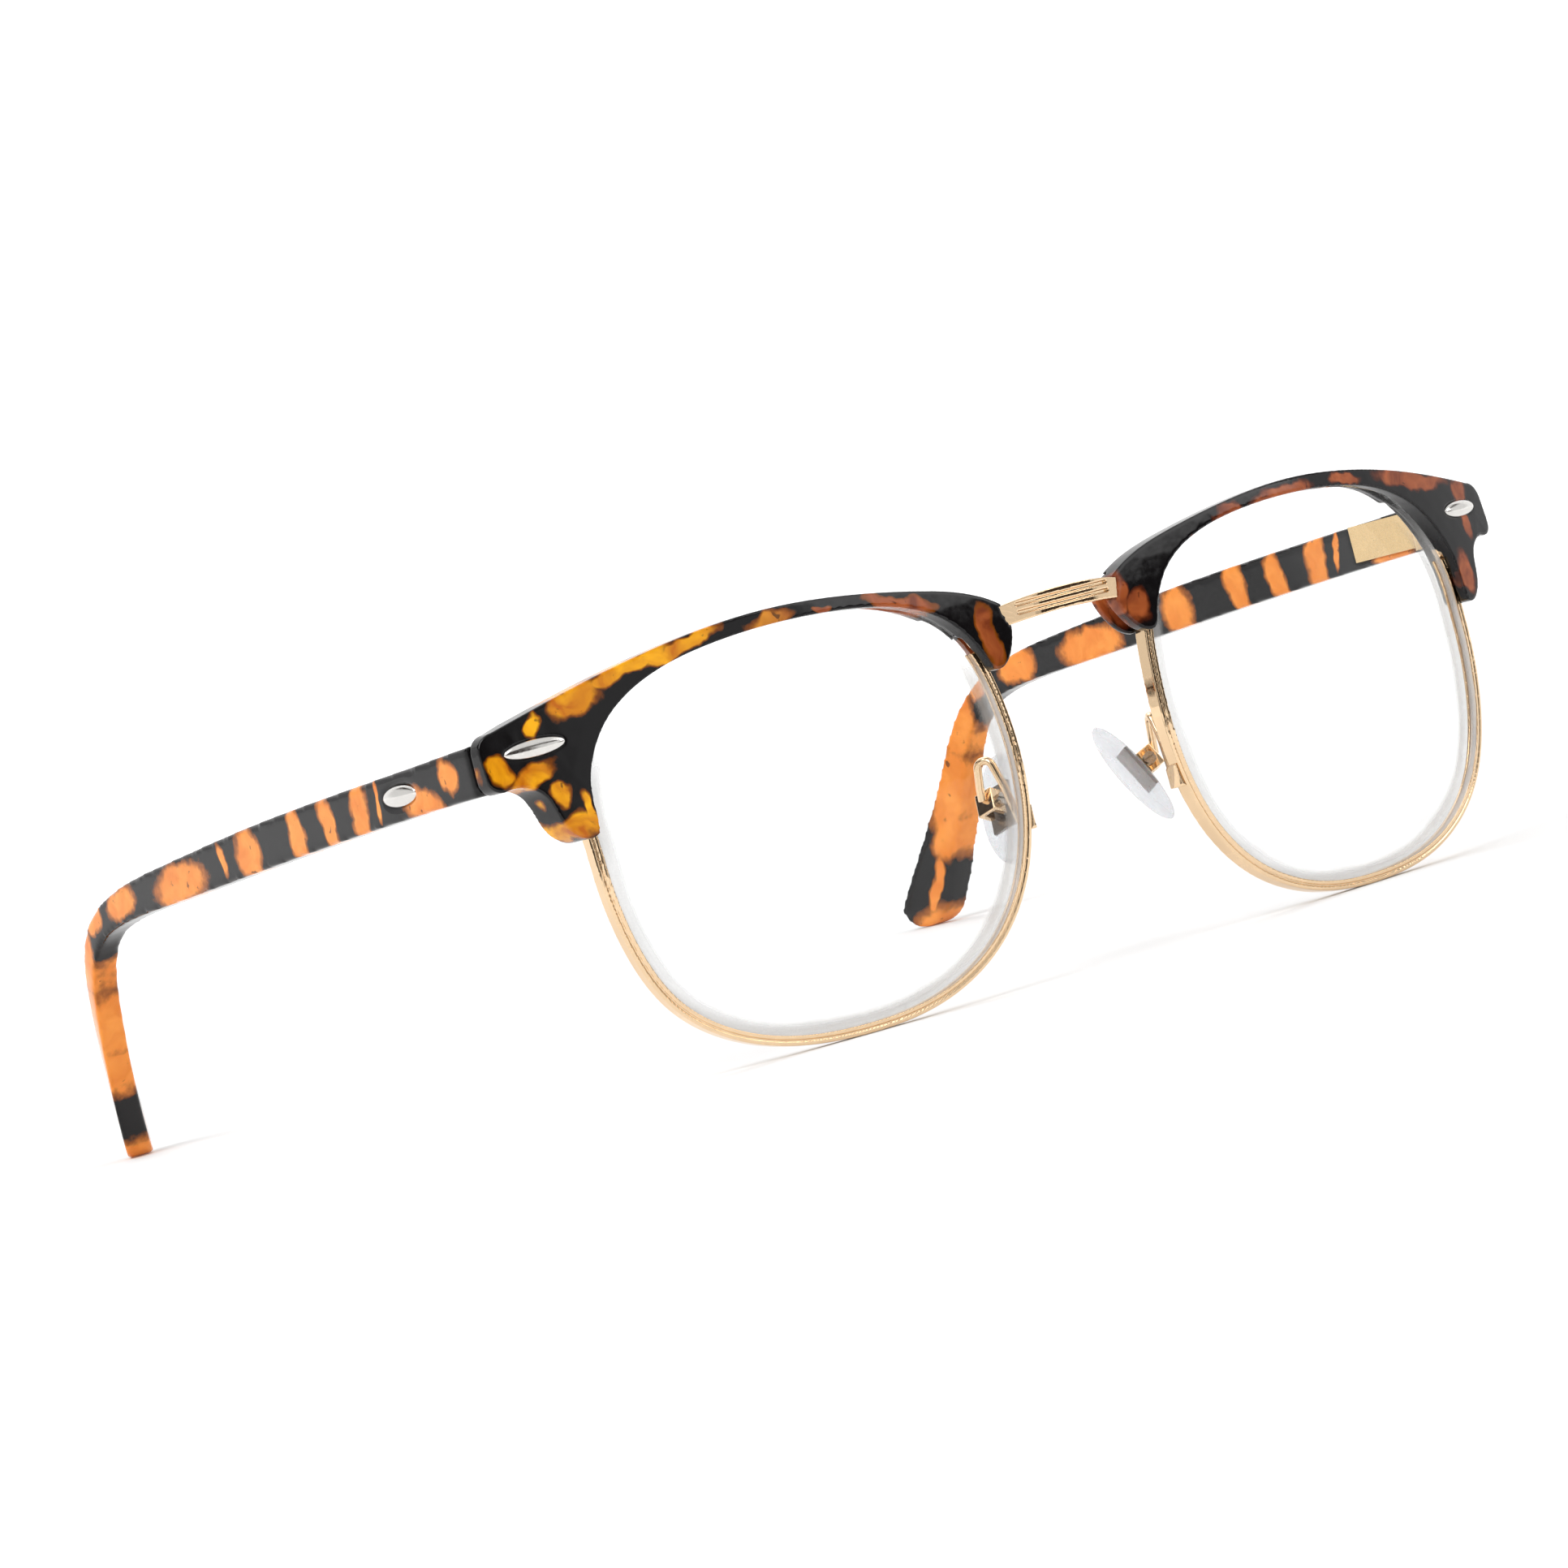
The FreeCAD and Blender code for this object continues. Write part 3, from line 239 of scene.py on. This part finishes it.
def tortoise(name, patches, colours, blend=None):
    """Polished tortoise plastic; blend is (from, to, colours there) along X in millimetres."""
    material, nodes = new_material(name)
    place = nodes.place()
    wobble = nodes.noise(place, 0.30, 2.0)["Color"]
    wobble = nodes.scaled(nodes.vector("SUBTRACT", wobble, (0.5, 0.5, 0.5)), PATCH_WANDER)
    warped = nodes.vector("ADD", place, wobble)
    distance = nearest_patch(nodes, warped, patches)
    fringe = nodes.math("SUBTRACT", nodes.noise(place, 1.6, 2.0)["Fac"], 0.5)
    distance = nodes.math("ADD", distance, nodes.math("MULTIPLY", fringe, PATCH_FRINGE))
    amber = nodes.spread(distance, AMBER_BEGINS, AMBER_FULL, smooth=True)
    clear_amber = nodes.spread(distance, BORDER_BEGINS, BORDER_ENDS, smooth=True)
    cloud = nodes.spread(nodes.noise(warped, 0.28, 3.0, 0.8)["Fac"], 0.3, 0.7)
    tint = nodes.mix(cloud, *colours)
    if blend:
        across = nodes.add("ShaderNodeSeparateXYZ")
        nodes.feed(across.inputs[0], place)
        share = nodes.spread(across.outputs["X"], blend[0], blend[1])
        tint = nodes.mix(share, tint, nodes.mix(cloud, *blend[2]))
    specks = nodes.spread(nodes.noise(warped, 0.9, 2.0)["Fac"], 0.68, 0.74)
    tint = nodes.mix(nodes.math("MULTIPLY", specks, 0.7), tint, BLACK)
    tint = nodes.mix(clear_amber, [value * BORDER_SHADE for value in colours[0]], tint)
    colour = nodes.mix(amber, BLACK, tint)
    polish = nodes.spread(nodes.noise(place, 2.0, 4.0)["Fac"], 0.3, 0.7, 0.07, 0.14)
    ripple = nodes.bump(nodes.noise(place, 0.5, 2.0)["Fac"], 0.02 * MM, 0.5)
    # Painted glow: the amber patches emit a little of their own colour, though the plastic is no lamp.
    glow = nodes.math("MULTIPLY", amber, 0.06)
    shader = nodes.principled(
        Base_Color=colour, Roughness=polish, Normal=ripple, IOR=1.5,
        Subsurface_Weight=nodes.math("MULTIPLY", amber, 0.12), Subsurface_Scale=1.0 * MM,
        Specular_IOR_Level=0.32, Emission_Color=colour, Emission_Strength=glow)
    nodes.finish(shader)
    return material


def brow_patches(node, patches):
    """The brow's patches as centres, radii and turns in the row frame, millimetres."""
    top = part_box(node)[1].z / MM
    return [((across, 0, top - drop), (length, PATCH_DEPTH, height), (0, -math.radians(rise), 0))
            for across, drop, length, height, rise in patches]


def temple_patches(node, patches):
    """The temple's patches as centres, radii and turns in the row frame, millimetres."""
    low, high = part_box(node)
    joint = low.y / MM
    start = high.z / MM - TEMPLE_MIDDLE
    return [((0, joint + back, start + TEMPLE_SLOPE * back + above), (PATCH_DEPTH, length, height),
             (math.radians(rise), 0, 0))
            for back, above, length, height, rise in patches]


# ---------------------------------------------------------------- metals

GOLD = (0.86, 0.63, 0.40)
HINGE_GOLD = (0.78, 0.56, 0.30)
SILVER = (0.76, 0.74, 0.71)
STEEL = (0.46, 0.42, 0.38)
GREY_METAL = (0.30, 0.26, 0.23)
EDGE_GAIN = 1.15
# How dark the painted shade in flutes and crevices leaves the metal's colour.
FLUTE_PAINTED_SHADE = 0.16


def metal(name, colour, roughness, grain, wear):
    """Polished or satin metal: fine drawn lines, tarnish in patches, bright edges, and painted shade
    darkening its flutes and crevices.
    """
    material, nodes = new_material(name)
    place = nodes.place()
    patches = nodes.spread(nodes.noise(place, 0.6, 4.0)["Fac"], 0.3, 0.7)
    darker = [value * wear for value in colour]
    tint = nodes.mix(nodes.math("MULTIPLY", patches, 0.6), colour, darker)
    pointed = nodes.add("ShaderNodeNewGeometry").outputs["Pointiness"]
    edge = nodes.spread(pointed, 0.52, 0.62)
    bright = [min(1.0, value * EDGE_GAIN) for value in colour]
    tint = nodes.mix(nodes.math("MULTIPLY", edge, 0.5), tint, bright)
    # Painted shade: hollows found by pointiness, such as flutes and grooves, are darkened in the base
    # colour.
    crevice_painted_shade = nodes.spread(pointed, 0.40, 0.485, 0.9, 0.0)
    tint = nodes.mix(crevice_painted_shade, tint, [value * FLUTE_PAINTED_SHADE for value in colour])
    lines = nodes.noise(place, grain, 6.0, 0.2)["Fac"]
    rough = nodes.spread(lines, 0.3, 0.7, roughness * 0.7, roughness * 1.5)
    relief = nodes.bump(lines, 0.001 * MM, 0.05)
    nodes.finish(nodes.principled(Base_Color=tint, Metallic=1.0, Roughness=rough, Normal=relief))
    return material


# ---------------------------------------------------------------- clear materials

# The ground edge of a lens: full up to FROST_FULL inside its outline, gone by FROST_GONE,
# and fading out between two heights, all in millimetres.
FROST_FULL = 0.8
FROST_GONE = (1.6, 2.0)
FROST_HEIGHTS = (31.0, 38.0)
FROST_STRENGTH = 0.55


def lens_material():
    """A clear lens: faint reflections, and a frosted band where its rim bevel is ground."""
    material, nodes = new_material("clear_lens")
    place = nodes.place()
    depth = nodes.add("ShaderNodeAttribute", attribute_name="edge_distance").outputs["Fac"]
    uneven = nodes.spread(nodes.noise(place, 0.12, 2.0)["Fac"], 0.35, 0.65, *FROST_GONE)
    band = nodes.spread(depth, FROST_FULL, uneven, 1.0, 0.0, smooth=True)
    grain = nodes.spread(nodes.noise(place, 6.0, 3.0)["Fac"], 0.3, 0.7, 0.9, 1.0)
    height = nodes.add("ShaderNodeSeparateXYZ")
    nodes.feed(height.inputs[0], place)
    low = nodes.spread(height.outputs["Z"], *FROST_HEIGHTS, 1.0, 0.08, smooth=True)
    low = nodes.math("MULTIPLY", low, FROST_STRENGTH)
    frost = nodes.math("MULTIPLY", nodes.math("MULTIPLY", band, grain), low)
    clear = nodes.add("ShaderNodeBsdfTransparent")
    clear.inputs["Color"].default_value = (0.985, 0.988, 0.988, 1.0)
    shine = nodes.add("ShaderNodeBsdfGlossy")
    shine.inputs["Roughness"].default_value = 0.03
    facing = nodes.add("ShaderNodeLayerWeight")
    facing.inputs["Blend"].default_value = 0.5
    reflected = nodes.spread(facing.outputs["Facing"], 0.3, 1.0, 0.012, 0.10)
    glass = nodes.mix_shader(reflected, clear.outputs[0], shine.outputs[0])
    ground = nodes.principled(Base_Color=(0.64, 0.63, 0.62), Roughness=0.45)
    nodes.finish(nodes.mix_shader(frost, glass, ground))
    return material


def silicone_material():
    """Clear soft silicone: mostly see-through, greyer at its rim, with soft highlights."""
    material, nodes = new_material("clear_silicone")
    place = nodes.place()
    weight = nodes.add("ShaderNodeLayerWeight")
    weight.inputs["Blend"].default_value = 0.35
    cloud = nodes.spread(nodes.noise(place, 0.5, 3.0)["Fac"], 0.3, 0.7, 0.0, 0.10)
    body = nodes.spread(weight.outputs["Facing"], 0.1, 0.95, 0.10, 0.62)
    body = nodes.math("ADD", body, cloud, clamp=True)
    clear = nodes.add("ShaderNodeBsdfTransparent")
    clear.inputs["Color"].default_value = (0.955, 0.96, 0.97, 1.0)
    ripple = nodes.bump(nodes.noise(place, 0.45, 2.0)["Fac"], 0.25 * MM, 0.7)
    soft = nodes.principled(
        Base_Color=(0.60, 0.61, 0.64), Roughness=0.10, Normal=ripple,
        Coat_Weight=1.0, Coat_Roughness=0.03, Subsurface_Weight=0.3, Subsurface_Scale=1.0 * MM)
    nodes.finish(nodes.mix_shader(body, clear.outputs[0], soft))
    return material


# ---------------------------------------------------------------- pieces

def copied(node, name):
    """A new object with a copy of a CAD node's mesh, its doubled corners joined."""
    mesh = frame["nodes"][node].data.copy()
    mesh.materials.clear()
    shape = bmesh.new()
    shape.from_mesh(mesh)
    bmesh.ops.remove_doubles(shape, verts=shape.verts, dist=0.001 * MM)
    shape.to_mesh(mesh)
    shape.free()
    if mesh.has_custom_normals:
        mesh.normals_split_custom_set([(0, 0, 0)] * len(mesh.loops))
    piece = bpy.data.objects.new(name, mesh)
    scene.collection.objects.link(piece)
    return piece


# The bar thins to an edge behind the lens, finer than a cell: this gives it body first.
BROW_SWELL = 0.05 * MM


def softened(node, cell, rounds):
    """A finely meshed copy of a CAD node with its edges rounded off, riding in its place."""
    piece = copied(node, node + "_finish")
    if "brow" in node:
        swell = piece.modifiers.new("swell", "DISPLACE")
        swell.strength = BROW_SWELL
        swell.mid_level = 0.0
    fine = piece.modifiers.new("fine", "REMESH")
    fine.mode = "VOXEL"
    fine.voxel_size = cell
    fine.use_smooth_shade = True
    round_off = piece.modifiers.new("round_off", "SMOOTH")
    round_off.factor = 0.5
    round_off.iterations = rounds
    graph = bpy.context.evaluated_depsgraph_get()
    finished = bpy.data.meshes.new_from_object(piece.evaluated_get(graph))
    piece.modifiers.clear()
    piece.data = finished
    body = frame["nodes"][node]["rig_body"]
    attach(piece, body)
    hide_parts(node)
    return piece


def paint(piece, material):
    """Give the piece one material."""
    piece.data.materials.clear()
    piece.data.materials.append(material)


# The lens outline is found in this many directions, each averaged with its neighbours.
OUTLINE_STEPS = 360
OUTLINE_NEIGHBOURS = 5


def lens_outline(mesh, middle):
    """The furthest point of the lens in each direction from its middle, smoothed."""
    furthest = [Vector((0, 0))] * OUTLINE_STEPS
    for vertex in mesh.vertices:
        flat = Vector((vertex.co.x - middle.x, vertex.co.z - middle.z))
        step = int((math.atan2(flat.y, flat.x) / math.tau % 1.0) * OUTLINE_STEPS) % OUTLINE_STEPS
        if flat.length > furthest[step].length:
            furthest[step] = flat
    found = [point for point in furthest if point.length > 0]
    nearby = range(-OUTLINE_NEIGHBOURS, OUTLINE_NEIGHBOURS + 1)
    return [sum((found[(index + step) % len(found)] for step in nearby), Vector((0, 0))) / len(nearby)
            for index in range(len(found))]


def mark_edge_distance(piece):
    """Store how far each point lies inside the lens outline, in millimetres."""
    mesh = piece.data
    low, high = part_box(piece.name.replace("_finish", ""))
    middle = (low + high) / 2
    outline = lens_outline(mesh, middle)
    tree = KDTree(len(outline))
    for index, point in enumerate(outline):
        tree.insert((point.x, point.y, 0), index)
    tree.balance()
    attribute = mesh.attributes.new("edge_distance", "FLOAT", "POINT")
    for index, vertex in enumerate(mesh.vertices):
        flat = (vertex.co.x - middle.x, vertex.co.z - middle.z, 0)
        attribute.data[index].value = tree.find(flat)[2] / MM


# Cell size, rounds of smoothing and material slot for each kind of piece.
FINISH = {
    "brow": (0.11 * MM, 14, "tortoise_plastic"),
    "temple": (0.28 * MM, 8, "tortoise_plastic"),
    "rim": (0.06 * MM, 12, "gold_metal"),
    "lens": (0.30 * MM, 6, "clear_lens"),
    "pad_arm": (0.08 * MM, 4, "gold_metal"),
    "pad_box": (0.07 * MM, 3, "gold_metal"),
    "nose_pad": (0.14 * MM, 8, "clear_silicone"),
    "front_rivet": (0.08 * MM, 3, "silver_trim"),
    "temple_rivet": (0.08 * MM, 3, "silver_trim"),
}
BRIDGE_CELL = 0.05 * MM
BRIDGE_ROUNDS = 12

materials = {
    "gold_metal": metal("gold_plating", GOLD, roughness=0.07, grain=3.0, wear=0.93),
    "silver_trim": metal("polished_silver", SILVER, roughness=0.16, grain=4.0, wear=0.9),
    "screw_steel": metal("turned_steel", STEEL, roughness=0.30, grain=8.0, wear=0.7),
    "insert_metal": metal("grey_insert", GREY_METAL, roughness=0.36, grain=6.0, wear=0.7),
    "hinge_metal": metal("hinge_gold", HINGE_GOLD, roughness=0.22, grain=5.0, wear=0.8),
    "clear_lens": lens_material(),
    "clear_silicone": silicone_material(),
}
own_materials = {
    "right_brow": tortoise(
        "tortoise_right_brow", brow_patches("right_brow", RIGHT_BROW_PATCHES),
        YELLOW_AMBER, (-44.0, -30.0, RED_BROWN)),
    "left_brow": tortoise(
        "tortoise_left_brow", brow_patches("left_brow", LEFT_BROW_PATCHES), RED_BROWN),
}
for side in SIDES:
    own_materials[side + "_temple"] = tortoise(
        f"tortoise_{side}_temple", temple_patches(side + "_temple", TEMPLE_PATCHES), TEMPLE_ORANGE)

for side in SIDES:
    for kind, (cell, rounds, slot) in FINISH.items():
        node = f"{side}_{kind}"
        piece = softened(node, cell, rounds)
        paint(piece, own_materials.get(node, materials.get(slot)))
        if kind == "lens":
            mark_edge_distance(piece)
paint(softened("bridge", BRIDGE_CELL, BRIDGE_ROUNDS), materials["gold_metal"])

# The small hidden pieces keep their CAD shapes.
slot_of = {part["node"]: part["material_slot"] for part in frame["record"]["subparts"]}
for node, thing in frame["nodes"].items():
    if not thing.hide_render:
        thing.data.materials.clear()
        thing.data.materials.append(materials[slot_of[node]])


# ---------------------------------------------------------------- backdrop

# Place in metres, turn in degrees about X, Y and Z, lens and sensor in millimetres.
CAMERA_PLACE = (-0.41755, -0.61574, 0.05167)
CAMERA_TURN = (87.872, 13.693, -34.711)
CAMERA_LENS = 150.29
CAMERA_SENSOR = 36.0

# The wall stands square to the camera's heading from straight ahead of the glasses.
CAMERA_HEADING = math.radians(34.2)

# The sheet: half its width, its near end, where it begins to curve up, the curve's radius
# and number of steps, and the wall's top, metres.
PAPER_HALF_WIDTH = 4.0
PAPER_NEAR = -3.0
PAPER_FAR = 1.6
PAPER_RADIUS = 1.2
PAPER_BENDS = 16
PAPER_TOP = 3.5

# The far paper is lit on its own: from here to here, millimetres, by this much.
BACKDROP_GLOW_REACH = (250.0, 1500.0)
BACKDROP_GLOW = (0.03, 0.52)


def make_backdrop():
    """A floor that curves up into a wall behind the object, square to the camera."""
    profile = [(PAPER_NEAR, 0.0), (0.0, 0.0), (PAPER_FAR, 0.0)]
    for step in range(1, PAPER_BENDS + 1):
        angle = math.pi / 2 * step / PAPER_BENDS
        profile.append((PAPER_FAR + PAPER_RADIUS * math.sin(angle), PAPER_RADIUS * (1 - math.cos(angle))))
    profile.append((PAPER_FAR + PAPER_RADIUS, PAPER_TOP))
    corners = [(side * PAPER_HALF_WIDTH, back, up) for back, up in profile for side in (-1, 1)]
    faces = [(2 * i, 2 * i + 1, 2 * i + 3, 2 * i + 2) for i in range(len(profile) - 1)]
    mesh = bpy.data.meshes.new("backdrop")
    mesh.from_pydata(corners, [], faces)
    mesh.shade_smooth()
    backdrop = bpy.data.objects.new("backdrop", mesh)
    backdrop.rotation_euler.z = -CAMERA_HEADING
    scene.collection.objects.link(backdrop)
    material, nodes = new_material("backdrop_paper")
    place = nodes.place()
    fibre = nodes.noise(place, 0.02, 3.0)["Fac"]
    tint = nodes.mix(fibre, (0.80, 0.80, 0.80), (0.82, 0.82, 0.82))
    distance = nodes.vector("LENGTH", place)
    glow = nodes.spread(distance, *BACKDROP_GLOW_REACH, *BACKDROP_GLOW)
    nodes.finish(nodes.principled(
        Base_Color=tint, Roughness=0.9, Emission_Color=(1.0, 1.0, 1.0), Emission_Strength=glow))
    mesh.materials.append(material)


make_backdrop()


# ---------------------------------------------------------------- camera and light

camera_data = bpy.data.cameras.new("camera")
camera_data.lens = CAMERA_LENS
camera_data.sensor_width = CAMERA_SENSOR
camera_data.clip_start = 0.01
camera = bpy.data.objects.new("camera", camera_data)
camera.location = CAMERA_PLACE
camera.rotation_euler = Euler([math.radians(angle) for angle in CAMERA_TURN], "XYZ")
scene.collection.objects.link(camera)
scene.camera = camera


# Name, heading from straight ahead of the glasses in degrees, height, distance and width
# in metres, and power in watts.
SOFTBOXES = (
    ("key", -75, 0.9, 0.9, 0.7, 8.0),
    ("fill", 40, 0.7, 1.1, 0.8, 4.0),
    ("back", 165, 1.3, 0.8, 1.0, 5.0),
)
LAMP_AIM = Vector((0, 0, 0.03))


def add_softbox(name, heading, height, distance, width, power):
    """A square lamp at a heading from straight ahead of the glasses, aimed at them."""
    data = bpy.data.lights.new(name, "AREA")
    data.energy = power
    data.size = width
    lamp = bpy.data.objects.new(name, data)
    angle = math.radians(heading)
    lamp.location = (distance * math.sin(angle), -distance * math.cos(angle), height)
    aim = LAMP_AIM - lamp.location
    lamp.rotation_euler = aim.to_track_quat("-Z", "Y").to_euler()
    scene.collection.objects.link(lamp)


for softbox in SOFTBOXES:
    add_softbox(*softbox)

# The surroundings: their strength, the shade of their dark parts, and the dark zones as
# direction, and the cosines of the angles where a zone starts and is full.
STUDIO_STRENGTH = 0.85
STUDIO_SHADE = (0.05, 0.04, 0.035)
RIGHT_ZONE = ((0.60, -0.79, -0.05), 0.91, 0.96)
FRONT_ZONE = ((-0.56, -0.82, 0.14), 0.86, 0.95)

# The dark strip, by the height of the direction: fading in, then fading out.
STRIP_IN = (0.36, 0.44)
STRIP_OUT = (0.54, 0.62)

world = bpy.data.worlds.new("studio")
world.use_nodes = True
scene.world = world
studio = Nodes(world.node_tree)
direction = studio.add("ShaderNodeTexCoord").outputs["Generated"]


def dark_zone(way, start, full):
    """How dark the studio is around a direction, by the cosine of the angle from it."""
    node = studio.add("ShaderNodeVectorMath", operation="DOT_PRODUCT")
    studio.feed(node.inputs[0], direction)
    node.inputs[1].default_value = Vector(way).normalized()
    return studio.spread(node.outputs["Value"], start, full, smooth=True)


# Dark zones in front and a dark strip higher up give metal its dark lines.
zones = studio.math("MAXIMUM", dark_zone(*RIGHT_ZONE), dark_zone(*FRONT_ZONE))
parts = studio.add("ShaderNodeSeparateXYZ")
studio.feed(parts.inputs[0], direction)
strip_start = studio.spread(parts.outputs["Z"], *STRIP_IN, smooth=True)
strip_end = studio.spread(parts.outputs["Z"], *STRIP_OUT, smooth=True)
strip = studio.math("SUBTRACT", strip_start, strip_end)
shade = studio.math("MAXIMUM", zones, strip)
light = studio.mix(shade, (1.0, 1.0, 1.0), STUDIO_SHADE)
# Past the paper's edge the camera sees plain white, like the paper itself.
seen = studio.add("ShaderNodeLightPath").outputs["Is Camera Ray"]
light = studio.mix(seen, light, (1.0 / STUDIO_STRENGTH,) * 3)
background = studio.add("ShaderNodeBackground")
studio.feed(background.inputs["Color"], light)
background.inputs["Strength"].default_value = STUDIO_STRENGTH
world_output = studio.add("ShaderNodeOutputWorld")
studio.feed(world_output.inputs["Surface"], background.outputs[0])

scene.view_settings.view_transform = "Standard"
